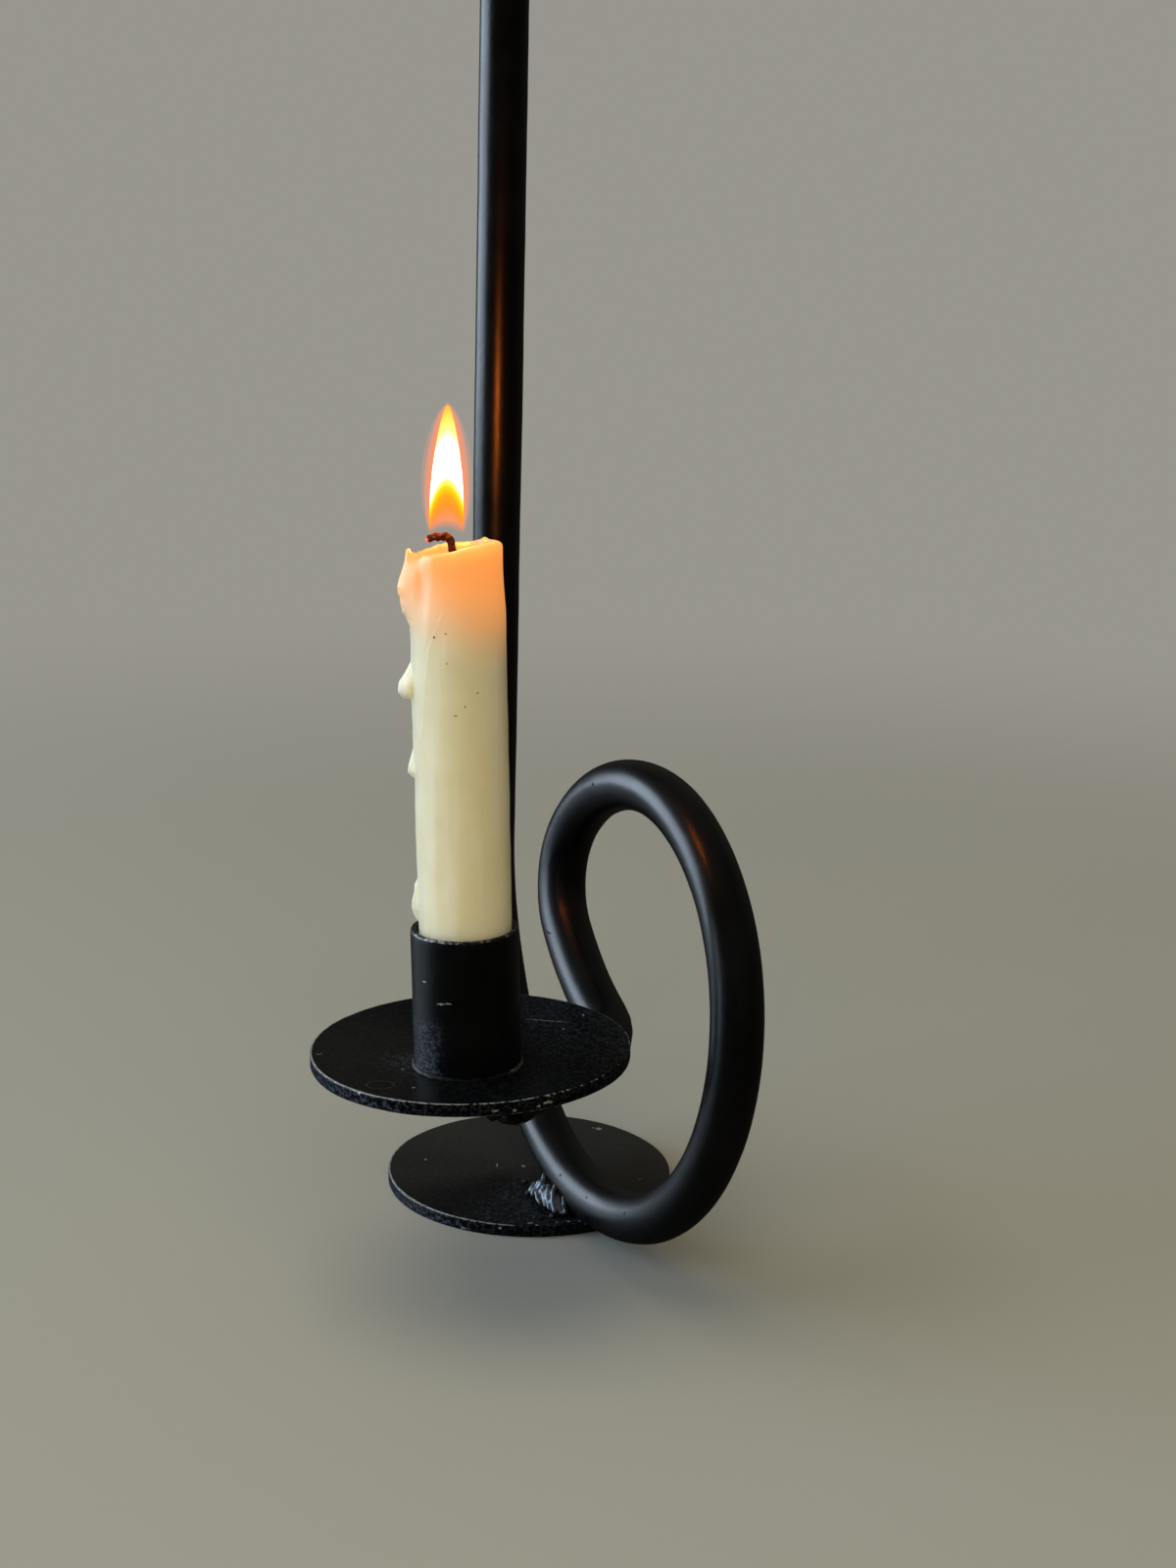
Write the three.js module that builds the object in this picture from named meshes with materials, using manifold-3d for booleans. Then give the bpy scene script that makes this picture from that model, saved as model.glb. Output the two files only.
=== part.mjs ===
// Double candle holder: one round iron bar bent into a carrying loop, with a flat
// base disc welded under the loop and a drip dish with a candle cup at each end of
// the bar. A part-burnt candle stands in the lower cup.
// Millimetres, +Z up, origin on the table at the centre of the base disc. The stem
// stands behind the base's centre and the loop swings forward, towards -Y.

import * as THREE from 'three';
import { mergeVertices } from 'three/addons/utils/BufferGeometryUtils.js';
import Module from 'manifold-3d';

const wasm = await Module();
wasm.setup();

// Sizes

const gap = 0.3;                 // clearance between pieces that are cut or seated
const restGap = 0.05;            // the loop all but touches the base disc

const barDiameter = 12.7;
const stemX = -13;               // the stem's place beside the base's centre
const stemY = 35;
const stemTop = 336.8;           // the stem's end, under the upper dish
const loopHeading = 23.5;        // degrees from straight ahead (-Y) round towards +X
const tailLength = 39;           // straight end of the bar, welded under the lower dish

// The bends follow each other down the stem, round the loop and under the lower dish:
// radius to the bar's centre, angle, and the roll of the bar before the bend.
const heelBend = { radius: 79, angle: 62, roll: 0 };
const soleBend = { radius: 69, angle: 51.6, roll: -6 };
const loopBend = { radius: 54, angle: 186.9, roll: 0 };
const shoulderBend = { radius: 36, angle: 25, roll: 4 };
const innerBend = { radius: 21, angle: 83.5, roll: -3 };
const armBend = { radius: 90, angle: 19.5, roll: 1 };
const tailBend = { radius: 15, angle: 56.5, roll: 83 };

const baseDiameter = 76.2;
const baseThickness = 3.2;
const dishDiameter = 76.2;
const dishThickness = 3.2;
const discEdge = 0.35;           // broken corner round the discs' rims
const dishLean = 1.7;            // degrees that the lower dish leans over the bar's tail
const dishSideways = 14.2;       // lower dish's centre beside the tail, inside the loop
const dishBack = 3.2;            // and behind the tail's end

const cupDiameter = 25;
const cupWall = 1.2;
const cupHeight = 33;
const cupRimRound = 0.4;
const lowerCupForward = 11.6;    // the lower cup stands in front of its dish's centre
const upperCupForward = 0;
const seamLeg = 0.9;             // leg of the brazed seam round a cup's foot

const stemWeldLeg = 3.2;         // fillet weld between the stem and the upper dish
const baseWeldRipples = 7;       // rippled bead beside the bar on the base disc
const baseWeldPitch = 2.2;
const baseWeldHeight = 5.2;
const baseWeldWidth = 3.8;
const baseWeldBack = 13.6;       // the bead's middle, behind the bar's lowest point
const tailWeldLumps = 6;         // lumpy bead down the outer side of the bar's cut end
const tailWeldStep = 24;         // degrees round the bar from one lump to the next
const tailWeldStart = 35;        // the first lump, from the side towards the dish
const tailWeldSize = 2;

const candleDiameter = 21.4;
const candleHeight = 119.8;      // from its foot to the lower side of its rim
const candleShift = 0.2;         // it stands against the right of its cup
const rimRise = 2.6;             // the rim is higher on its right than on its left
const meltedLength = 14;         // the top of the candle is drawn in by the heat
const meltedIn = 0.8;
const poolDepth = 4.5;           // melted pool round the wick
const poolWall = 1.4;
const wickDiameter = 1.7;
const wickOffset = 0.9;          // the wick stands to the left of the candle's axis
const wickStand = 5.1;           // straight length of the wick above the pool's floor
const wickTip = 4.2;             // and past its curl
const wickLean = { radius: 3, angle: 5, roll: 0 };
const wickCurl = { radius: 1.1, angle: 96, roll: 0 };

// Wax runs down the candle: side in degrees round from +X, height of the drop above
// the candle's foot, how far it stands out, and the length of the run above it.
// The first run starts in a spike above the rim.
const dropWidth = 4;
const waxRuns = [
	{ side: 186, height: 112, proud: 2.7, length: 9 },
	{ side: 184, height: 108.8, proud: 2.2, length: 6 },
	{ side: 181, height: 88.7, proud: 3.1, length: 9 },
	{ side: 183, height: 69.7, proud: 1.8, length: 10 },
	{ side: 190, height: 37.3, proud: 2.2, length: 10 },
	{ side: 215, height: 38, proud: 0.8, length: 34 },
	{ side: 25, height: 52, proud: 0.8, length: 40 },
	{ side: 95, height: 60, proud: 1.5, length: 26 },
	{ side: 140, height: 76, proud: 1.2, length: 30 },
];

const barSides = 24;
const discSides = 72;
const cupSides = 48;
const candleSides = 40;
const wickSides = 8;
const dropSides = 10;
const degreesPerStation = 5.5;   // step along a rod in a bend

const barRadius = barDiameter / 2;
const cupRadius = cupDiameter / 2;
const cupBore = cupRadius - cupWall;
const candleRadius = candleDiameter / 2;
const wickRadius = wickDiameter / 2;
const up = new THREE.Vector3(0, 0, 1);
const degrees = THREE.MathUtils.degToRad;

// Materials

const paintedIron = new THREE.MeshStandardMaterial({ color: '#17181b', roughness: 0.5, metalness: 0.2 });
const weldIron = new THREE.MeshStandardMaterial({ color: '#6f7377', roughness: 0.4, metalness: 0.7 });
const wax = new THREE.MeshStandardMaterial({ color: '#e9dfb6', roughness: 0.55, metalness: 0 });
const charredCotton = new THREE.MeshStandardMaterial({ color: '#3a1d14', roughness: 0.9, metalness: 0 });

// Solids

function toManifold(geometry) {
	const bare = geometry.clone();
	bare.deleteAttribute('normal');
	bare.deleteAttribute('uv');
	const merged = mergeVertices(bare, 1e-4);
	return new wasm.Manifold(new wasm.Mesh({
		numProp: 3,
		vertProperties: new Float32Array(merged.attributes.position.array),
		triVerts: new Uint32Array(merged.index.array),
	}));
}

function toGeometry(manifold) {
	const mesh = manifold.getMesh();
	const geometry = new THREE.BufferGeometry();
	geometry.setAttribute('position', new THREE.BufferAttribute(mesh.vertProperties, 3));
	geometry.setIndex(new THREE.BufferAttribute(mesh.triVerts, 1));
	return geometry;
}

function join(geometries) {
	return geometries.map(toManifold).reduce((whole, each) => whole.add(each));
}

function lathe(points, sides) {
	const outline = points.map(([radius, height]) => new THREE.Vector2(radius, height));
	return new THREE.LatheGeometry(outline, sides).rotateX(Math.PI / 2);
}

function disc(diameter, thickness) {
	const rim = diameter / 2;
	return lathe([
		[0, 0],
		[rim - discEdge, 0],
		[rim, discEdge],
		[rim, thickness - discEdge],
		[rim - discEdge, thickness],
		[0, thickness],
	], discSides);
}

function cup() {
	return lathe([
		[cupBore, 0],
		[cupRadius, 0],
		[cupRadius, cupHeight - cupRimRound],
		[cupRadius - cupRimRound, cupHeight],
		[cupBore, cupHeight],
		[cupBore, 0],
	], cupSides);
}

// A hollow fillet round a post: one leg up the post, one along the face it stands on.
function filletRing(postRadius, leg) {
	const inner = postRadius + gap;
	return lathe([
		[inner, 0],
		[inner + leg, 0],
		[inner + leg * 0.4, leg * 0.4],
		[inner, leg],
		[inner, 0],
	], cupSides);
}

function lump(x, y, z) {
	return new THREE.SphereGeometry(1, 14, 9).rotateX(Math.PI / 2).scale(x, y, z);
}

function piece(name, geometry, material) {
	const mesh = new THREE.Mesh(geometry, material);
	mesh.name = name;
	return mesh;
}

// Centrelines of straights and bends

class Bend extends THREE.Curve {
	constructor(start, centre, axis, angle) {
		super();
		Object.assign(this, { start, centre, axis, angle });
	}
	getPoint(t, target = new THREE.Vector3()) {
		target.copy(this.start).sub(this.centre);
		return target.applyAxisAngle(this.axis, this.angle * t).add(this.centre);
	}
}

// Each run has as many stations as it needs: one on a straight, more in a bend.
class RodLine extends THREE.Curve {
	constructor(point, along, inward) {
		super();
		Object.assign(this, { point, along, inward });
		this.runs = [];
		this.stations = 0;
	}
	add(curve, steps) {
		this.runs.push({ curve, first: this.stations, steps });
		this.stations += steps;
		this.point = curve.getPoint(1).clone();
	}
	straight(length) {
		const end = this.point.clone().addScaledVector(this.along, length);
		this.add(new THREE.LineCurve3(this.point, end), 1);
	}
	bend({ radius, angle, roll }) {
		this.inward.applyAxisAngle(this.along, degrees(roll));
		const centre = this.point.clone().addScaledVector(this.inward, radius);
		const axis = this.along.clone().cross(this.inward);
		this.add(new Bend(this.point, centre, axis, degrees(angle)), Math.ceil(angle / degreesPerStation));
		this.along.applyAxisAngle(axis, degrees(angle));
		this.inward.applyAxisAngle(axis, degrees(angle));
	}
	getPoint(t, target = new THREE.Vector3()) {
		const station = t * this.stations;
		const run = this.runs.findLast((each) => each.first <= station) ?? this.runs[0];
		return run.curve.getPoint((station - run.first) / run.steps, target);
	}
	getUtoTmapping(u) {
		return u;
	}
}

function rod(line, radius, sides) {
	const section = new THREE.Shape().absarc(0, 0, radius, 0, 2 * Math.PI);
	return new THREE.ExtrudeGeometry(section, {
		steps: line.stations,
		curveSegments: sides / 2,   // a whole circle is divided twice as finely
		extrudePath: line,
	});
}

// The bar, laid from the stem's top downwards

function layBar(stem, tail) {
	const heading = degrees(loopHeading);
	const start = new THREE.Vector3(stemX, stemY, stemTop);
	const inward = new THREE.Vector3(Math.sin(heading), -Math.cos(heading), 0);
	const line = new RodLine(start, up.clone().negate(), inward);
	line.straight(stem);
	for (const each of [heelBend, soleBend, loopBend, shoulderBend, innerBend, armBend, tailBend]) {
		line.bend(each);
	}
	line.straight(tail);
	return line;
}

function lowestStation(line) {
	const samples = line.stations * 20;
	let lowest = 0;
	for (let i = 1; i <= samples; i += 1) {
		if (line.getPoint(i / samples).z < line.getPoint(lowest).z) lowest = i / samples;
	}
	return lowest;
}

// The loop rests on the base disc, and the stem's length follows from that.
const restHeight = baseThickness + restGap + barRadius;
const shortBar = layBar(1, tailLength);
const stemLength = 1 + shortBar.getPoint(lowestStation(shortBar)).z - restHeight;
const bar = layBar(stemLength, tailLength);
const restStation = lowestStation(bar);
const restPoint = bar.getPoint(restStation);
const restAlong = bar.getTangent(restStation).setZ(0).normalize();
const restBeside = new THREE.Vector3(restAlong.y, -restAlong.x, 0);
const barRoom = toManifold(rod(layBar(stemLength, tailLength + gap), barRadius + gap, barSides));

// The lower dish stands square on the bar's tail, but for its lean.

const dishUp = up.clone().addScaledVector(bar.along, -up.dot(bar.along)).normalize();
const dishSide = bar.along.clone().cross(dishUp);
const leanUp = dishUp.clone().applyAxisAngle(bar.along, degrees(dishLean));
const leanSide = dishSide.clone().applyAxisAngle(bar.along, degrees(dishLean));

const lowerGroup = new THREE.Group();
lowerGroup.quaternion.setFromUnitVectors(up, leanUp);
lowerGroup.position.copy(bar.point)
	.addScaledVector(bar.along, -dishBack)
	.addScaledVector(leanSide, dishSideways)
	.addScaledVector(leanUp, barRadius + gap);
lowerGroup.updateMatrixWorld();

const upperGroup = new THREE.Group();
upperGroup.position.set(stemX, stemY, stemTop);

// Welds

// Ripples lie side by side along the bar, in the corner that it makes with the disc.
function baseWeld() {
	const heading = Math.atan2(restAlong.y, restAlong.x);
	const middle = restPoint.clone().setZ(baseThickness)
		.addScaledVector(restAlong, -baseWeldBack)
		.addScaledVector(restBeside, barRadius);
	const ripples = [];
	for (let i = 0; i < baseWeldRipples; i += 1) {
		const place = i - (baseWeldRipples - 1) / 2;
		const taper = 1 - 0.35 * (2 * place / baseWeldRipples) ** 2;
		const ripple = lump(baseWeldPitch * 0.75, baseWeldWidth * taper, baseWeldHeight * taper);
		const centre = middle.clone().addScaledVector(restAlong, place * baseWeldPitch);
		ripples.push(ripple.rotateZ(heading).translate(centre.x, centre.y, centre.z));
	}
	const belowTop = disc(baseDiameter * 2, baseThickness * 4).translate(0, 0, -baseThickness * 3);
	return toGeometry(join(ripples).subtract(barRoom).subtract(toManifold(belowTop)));
}

// Lumps run down the outer side of the bar's cut end, from the dish to its underside.
function tailWeld() {
	const lumps = [];
	for (let i = 0; i < tailWeldLumps; i += 1) {
		const outward = dishUp.clone().applyAxisAngle(bar.along, degrees(tailWeldStart + i * tailWeldStep));
		const centre = bar.point.clone()
			.addScaledVector(bar.along, tailWeldSize * 0.6)
			.addScaledVector(outward, barRadius * 0.8);
		lumps.push(lump(tailWeldSize, tailWeldSize, tailWeldSize).translate(centre.x, centre.y, centre.z));
	}
	const aboveUnderside = disc(dishDiameter * 2, dishThickness * 4)
		.translate(0, 0, -gap)
		.applyMatrix4(lowerGroup.matrixWorld);
	return toGeometry(join(lumps).subtract(barRoom).subtract(toManifold(aboveUnderside)));
}

function stemWeld() {
	return filletRing(barRadius, stemWeldLeg).rotateX(Math.PI);
}

// Candle

const rimLevel = candleHeight + rimRise / 2;
const poolFloor = rimLevel - poolDepth;

function waxRun({ side, height, proud, length }) {
	const width = dropWidth / 2;
	const reach = candleRadius + proud - width;
	return lathe([
		[0, -width * 1.1],
		[width * 0.7, -width * 0.75],
		[width, 0],
		[width * 0.7, length * 0.3],
		[width * 0.5, length * 0.7],
		[0, length],
	], dropSides).translate(reach * Math.cos(degrees(side)), reach * Math.sin(degrees(side)), height);
}

function candle() {
	const blank = candleHeight + rimRise * 2;
	const body = lathe([
		[0, 0],
		[candleRadius, 0],
		[candleRadius, rimLevel - meltedLength],
		[candleRadius - meltedIn, blank],
		[0, blank],
	], candleSides);
	const aboveRim = new THREE.BoxGeometry(candleDiameter * 2, candleDiameter * 2, candleDiameter)
		.translate(0, 0, candleDiameter / 2)
		.rotateY(-Math.atan(rimRise / candleDiameter))
		.translate(0, 0, rimLevel);
	const poolRadius = candleRadius - meltedIn - poolWall;
	const pool = new THREE.SphereGeometry(1, candleSides, 12)
		.rotateX(Math.PI / 2)
		.scale(poolRadius, poolRadius, poolDepth)
		.translate(0, 0, rimLevel);
	const boreRadius = wickRadius + gap;
	const bore = new THREE.CylinderGeometry(boreRadius, boreRadius, blank * 2, wickSides * 2)
		.rotateX(Math.PI / 2)
		.translate(-wickOffset, 0, blank / 2);
	const cut = [aboveRim, pool, bore].map(toManifold);
	const shaped = cut.reduce((solid, each) => solid.subtract(each), toManifold(body));
	return toGeometry(waxRuns.map(waxRun).reduce((solid, run) => solid.add(toManifold(run)), shaped));
}

function wick() {
	const line = new RodLine(new THREE.Vector3(-wickOffset, 0, 0), up.clone(), new THREE.Vector3(-1, 0, 0));
	line.straight(poolFloor);
	line.bend(wickLean);
	line.straight(wickStand);
	line.bend(wickCurl);
	line.straight(wickTip);
	return rod(line, wickRadius, wickSides);
}

// Assembly

// A drip dish with its cup and the seam round the cup's foot.
function addDish(group, level, cupForward) {
	const cupFoot = new THREE.Vector3(0, -cupForward, dishThickness + gap);
	const dish = piece(`${level}_dish`, disc(dishDiameter, dishThickness), paintedIron);
	const tube = piece(`${level}_cup`, cup(), paintedIron);
	const seam = piece(`${level}_cup_seam`, filletRing(cupRadius, seamLeg), weldIron);
	tube.position.copy(cupFoot);
	seam.position.copy(cupFoot);
	group.add(dish, tube, seam);
	return cupFoot;
}

const holder = new THREE.Group();
holder.add(
	piece('base_disc', disc(baseDiameter, baseThickness), paintedIron),
	piece('bent_bar', rod(bar, barRadius, barSides), paintedIron),
	piece('base_weld', baseWeld(), weldIron),
	piece('tail_weld', tailWeld(), weldIron),
	lowerGroup,
	upperGroup,
);

const lowerCupFoot = addDish(lowerGroup, 'lower', lowerCupForward);
addDish(upperGroup, 'upper', upperCupForward);
upperGroup.add(piece('stem_weld', stemWeld(), weldIron));

const candleGroup = new THREE.Group();
candleGroup.position.copy(lowerCupFoot).setX(candleShift);
candleGroup.add(piece('candle', candle(), wax), piece('wick', wick(), charredCotton));
lowerGroup.add(candleGroup);

export default holder;
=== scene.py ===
"""Looks of the double candle holder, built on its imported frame.

Lengths here are millimetres until a piece is finished, then metres. +Z is up, and the
origin is on the table at the centre of the base disc.
"""

import math

import bmesh
import bpy
from mathutils import Matrix, Vector, noise


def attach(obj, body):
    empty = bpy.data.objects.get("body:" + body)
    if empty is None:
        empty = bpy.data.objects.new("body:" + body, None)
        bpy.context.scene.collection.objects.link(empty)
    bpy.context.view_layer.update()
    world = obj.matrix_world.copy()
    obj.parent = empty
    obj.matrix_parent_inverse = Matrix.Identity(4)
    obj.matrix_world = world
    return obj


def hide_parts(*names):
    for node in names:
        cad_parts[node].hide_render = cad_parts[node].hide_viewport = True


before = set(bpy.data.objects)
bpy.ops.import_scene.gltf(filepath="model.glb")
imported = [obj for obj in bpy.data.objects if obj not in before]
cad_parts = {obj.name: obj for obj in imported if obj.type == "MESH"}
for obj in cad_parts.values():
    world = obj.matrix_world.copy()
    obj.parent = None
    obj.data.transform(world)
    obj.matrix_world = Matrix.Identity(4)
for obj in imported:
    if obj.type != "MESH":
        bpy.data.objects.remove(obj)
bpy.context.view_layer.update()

# Sizes, the same as the solids have
BAR_RADIUS = 6.35
STEM_PLACE = Vector((-13, 35, 336.8))
LOOP_HEADING = math.radians(23.5)
TAIL_LENGTH = 39
BENDS = (
    # radius to the bar's centre, angle, and the roll of the bar before the bend
    (79, 62, 0),
    (69, 51.6, -6),
    (54, 186.9, 0),
    (36, 25, 4),
    (21, 83.5, -3),
    (90, 19.5, 1),
    (15, 56.5, 83),
)
DISC_RADIUS = 38.1
DISC_THICKNESS = 3.2
DISC_EDGE = 0.35
DISH_LEAN = math.radians(1.7)
DISH_SIDEWAYS = 14.2
DISH_BACK = 3.2
# gaps that the welds and the seams bridge
GAP = 0.3
REST_GAP = 0.05
CUP_RADIUS = 12.5
CUP_BORE = 11.3
CUP_HEIGHT = 33
LOWER_CUP_FORWARD = 11.6
CANDLE_RADIUS = 10.7
CANDLE_SHIFT = 0.2
RIM_LEVEL = 120.9
POOL_LEVEL = RIM_LEVEL - 3.2
UP = Vector((0, 0, 1))


# Scene and camera

def add_object(name, data):
    """Put a camera, a light or a shape in the scene. A bmesh becomes a mesh and is freed."""
    if isinstance(data, bmesh.types.BMesh):
        mesh = bpy.data.meshes.new(name)
        data.to_mesh(mesh)
        data.free()
        data = mesh
    obj = bpy.data.objects.new(name, data)
    bpy.context.scene.collection.objects.link(obj)
    return obj


def add_camera():
    """The photograph's camera, tipped down and slightly rolled."""
    pitch = math.radians(13.988)
    roll = math.radians(1.456)
    level = Vector((1, 0, 0))
    raised = Vector((0, math.sin(pitch), math.cos(pitch)))
    right = math.cos(roll) * level + math.sin(roll) * raised
    upward = math.cos(roll) * raised - math.sin(roll) * level
    turn = Matrix((right, upward, right.cross(upward))).transposed().to_4x4()
    data = bpy.data.cameras.new("camera")
    data.sensor_width = 36
    data.lens = 54.16
    camera = add_object("camera", data)
    camera.matrix_world = Matrix.Translation((0.0133, -0.5968, 0.2594)) @ turn
    bpy.context.scene.camera = camera


add_camera()


# Materials

def colour(code):
    """Linear colour of an sRGB hex code."""
    parts = [int(code[i:i + 2], 16) / 255 for i in (1, 3, 5)]
    linear = [p / 12.92 if p <= 0.04045 else ((p + 0.055) / 1.055) ** 2.4 for p in parts]
    return (*linear, 1)


def node(tree, kind, inputs=None, out=0, stops=(), **settings):
    """Add a node and give one of its outputs. Inputs are values or other nodes' outputs,
    and stops are the places and colours of a ColorRamp."""
    made = tree.nodes.new("ShaderNode" + kind)
    for name, value in settings.items():
        setattr(made, name, value)
    for name, value in (inputs or {}).items():
        if isinstance(value, bpy.types.NodeSocket):
            tree.links.new(value, made.inputs[name])
        else:
            made.inputs[name].default_value = value
    for index, (place, shade) in enumerate(stops):
        elements = made.color_ramp.elements
        element = elements[index] if index < 2 else elements.new(place)
        element.position = place
        element.color = shade
    return made.outputs[out] if made.outputs else made


def start_material(name, place):
    """A new material, and its Object coordinates turned to a part's own millimetres."""
    material = bpy.data.materials.new(name)
    material.use_nodes = True
    tree = material.node_tree
    tree.nodes.clear()
    local = node(tree, "Mapping", {
        "Vector": node(tree, "TexCoord", out="Object"),
        "Location": place.to_translation() * 0.001,
        "Rotation": place.to_euler(),
        "Scale": (0.001, 0.001, 0.001),
    }, vector_type="TEXTURE")
    return material, tree, local


def marked(tree, where, marks):
    """How deep a point is inside any of the marks, each a ragged ellipsoid of (centre, half
    sizes, turn)."""
    # the marks' edges wander by 0.3 mm
    wander = node(tree, "TexNoise", {"Vector": where, "Scale": 1 / 0.8, "Detail": 3}, "Color")
    shake = node(tree, "VectorMath", {0: wander, 1: (0.5, 0.5, 0.5)}, operation="SUBTRACT")
    ragged = node(tree, "VectorMath", {0: shake, 1: (0.7, 0.7, 0.7), 2: where}, operation="MULTIPLY_ADD")
    deepest = 0.0
    for centre, sizes, turn in marks:
        inside = node(tree, "Mapping", {
            "Vector": ragged, "Location": centre, "Rotation": (0, 0, math.radians(turn)), "Scale": sizes,
        }, vector_type="TEXTURE")
        distance = node(tree, "VectorMath", {0: inside}, "Value", operation="LENGTH")
        depth = node(tree, "MapRange", {"Value": distance, "From Min": 1.0, "From Max": 0.75})
        deepest = node(tree, "Math", {0: deepest, 1: depth}, operation="MAXIMUM")
    return deepest


def painted_iron(name, place=Matrix(), chips=(), stains=(), pits=(), shine=0.5):
    """Satin black paint on mild steel, dipped or brushed on. It looks near black with soft
    bluish lights, has a fine orange peel, and is rubbed through to bright steel on edges.
    The attributes "worn" and "scuffed" say where it is rubbed through or rough, and
    "dusty" where it is grey, from dust and partly from a painted sheen. On the discs and
    seams, rubbed edges are partly painted highlights. Chips show bare steel, stains have a
    pale ring, pits are pinholes, and shine is lower where the paint is matt."""
    material, tree, local = start_material(name, place)
    worn = node(tree, "Attribute", out="Fac", attribute_name="worn")
    scuffed = node(tree, "Attribute", out="Fac", attribute_name="scuffed")
    # rubbed patches are blotches 1.1 mm across, broken up by finer grit
    blotches = node(tree, "TexNoise", {"Vector": local, "Scale": 1 / 1.1, "Detail": 6, "Roughness": 0.72})
    exposed = node(tree, "Math", {0: worn, 1: blotches}, operation="ADD")
    bare = node(tree, "MapRange", {"Value": exposed, "From Min": 1.0, "From Max": 1.07})
    if chips:
        bare = node(tree, "Math", {0: bare, 1: marked(tree, local, chips)}, operation="MAXIMUM")
    # handling marks are soft clouds 14 mm across
    clouds = node(tree, "TexNoise", {"Vector": local, "Scale": 1 / 14, "Detail": 6, "Roughness": 0.65})
    paint = node(tree, "ValToRGB", {0: clouds}, stops=((0.35, colour("#020203")), (0.7, colour("#070809"))))
    # dust is specks 0.5 mm across
    dust = node(tree, "TexNoise", {"Vector": local, "Scale": 1 / 0.5, "Detail": 2})
    dusty = node(tree, "MapRange", {"Value": dust, "From Min": 0.7, "From Max": 0.78, "To Max": 0.5})
    paint = node(tree, "Mix", {0: dusty, 6: paint, 7: colour("#2c2f33")}, 2, data_type="RGBA")
    # fine dust greys a level face, and on the discs a painted sheen greys it too
    greyed_by_dust_and_sheen = node(tree, "Attribute", out="Fac", attribute_name="dusty")
    paint = node(tree, "Mix", {0: greyed_by_dust_and_sheen, 6: paint, 7: colour("#3a3a38")}, 2, data_type="RGBA")
    # scuffs are scrapes 0.9 mm across
    scrapes = node(tree, "TexNoise", {"Vector": local, "Scale": 1 / 0.9, "Detail": 5, "Roughness": 0.7})
    scraped = node(tree, "MapRange", {"Value": scrapes, "From Min": 0.48, "From Max": 0.6})
    scraped = node(tree, "Math", {0: scraped, 1: scuffed}, operation="MULTIPLY")
    paint = node(tree, "Mix", {0: scraped, 6: paint, 7: colour("#3b4450")}, 2, data_type="RGBA")
    if pits:
        # a pinhole doesn't shine
        shine = node(tree, "MapRange", {"Value": marked(tree, local, pits), "To Min": shine, "To Max": 0.03})
    if stains:
        stained = marked(tree, local, stains)
        shine = node(tree, "MapRange", {"Value": stained, "To Min": shine, "To Max": 0.6 * shine})
        # a stain dries with a pale ring
        ring = node(tree, "Math", {0: stained, 1: 0.25, 2: 0.2}, operation="COMPARE")
        ring = node(tree, "Math", {0: ring, 1: 0.6}, operation="MULTIPLY")
        paint = node(tree, "Mix", {0: ring, 6: paint, 7: colour("#34342f")}, 2, data_type="RGBA")
    shade = node(tree, "Mix", {0: bare, 6: paint, 7: colour("#8d918f")}, 2, data_type="RGBA")
    dull_metal = node(tree, "Math", {0: bare, 1: 0.45}, operation="MULTIPLY")
    gloss = node(tree, "MapRange", {
        "Value": clouds, "From Min": 0.3, "From Max": 0.7, "To Min": 0.28, "To Max": 0.36,
    })
    # the orange peel's grains are 0.45 mm across, over waves of 4 mm
    peel = node(tree, "TexNoise", {"Vector": local, "Scale": 1 / 0.45, "Detail": 3, "Roughness": 0.6})
    waves = node(tree, "TexNoise", {"Vector": local, "Scale": 1 / 4, "Detail": 2})
    relief = node(tree, "Math", {0: waves, 1: 2.0, 2: peel}, operation="MULTIPLY_ADD")
    roughened = node(tree, "Math", {0: scrapes, 1: scuffed}, operation="MULTIPLY")
    relief = node(tree, "Math", {0: roughened, 1: 5.0, 2: relief}, operation="MULTIPLY_ADD")
    relief = node(tree, "Math", {0: bare, 1: -1.5, 2: relief}, operation="MULTIPLY_ADD")
    bump = node(tree, "Bump", {"Height": relief, "Strength": 0.8, "Distance": 0.00004})
    surface = node(tree, "BsdfPrincipled", {
        "Base Color": shade,
        "Metallic": dull_metal,
        "Roughness": gloss,
        "Specular IOR Level": shine,
        "Normal": bump,
    })
    node(tree, "OutputMaterial", {"Surface": surface})
    return material


def weld_metal(name, place=Matrix()):
    """Welded steel left in its ripples and thinly painted over. It is silvery grey and
    shiny where the attribute "worn" is high, and black elsewhere."""
    material, tree, local = start_material(name, place)
    worn = node(tree, "Attribute", out="Fac", attribute_name="worn")
    # the paint holds in blotches 1.2 mm across
    blotches = node(tree, "TexNoise", {"Vector": local, "Scale": 1 / 1.2, "Detail": 5, "Roughness": 0.65})
    exposed = node(tree, "Math", {0: worn, 1: blotches}, operation="ADD")
    bare = node(tree, "MapRange", {"Value": exposed, "From Min": 0.95, "From Max": 1.15})
    shade = node(tree, "Mix", {0: bare, 6: colour("#08090a"), 7: colour("#5f676e")}, 2, data_type="RGBA")
    metal = node(tree, "Math", {0: bare, 1: 0.7}, operation="MULTIPLY")
    gloss = node(tree, "MapRange", {"Value": bare, "To Min": 0.6, "To Max": 0.33})
    # scale and spatter are grains 0.5 mm across
    scale = node(tree, "TexNoise", {"Vector": local, "Scale": 1 / 0.5, "Detail": 4, "Roughness": 0.6})
    bump = node(tree, "Bump", {"Height": scale, "Strength": 0.7, "Distance": 0.00003})
    surface = node(tree, "BsdfPrincipled", {
        "Base Color": shade,
        "Metallic": metal,
        "Roughness": gloss,
        "Normal": bump,
    })
    node(tree, "OutputMaterial", {"Surface": surface})
    return material


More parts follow.
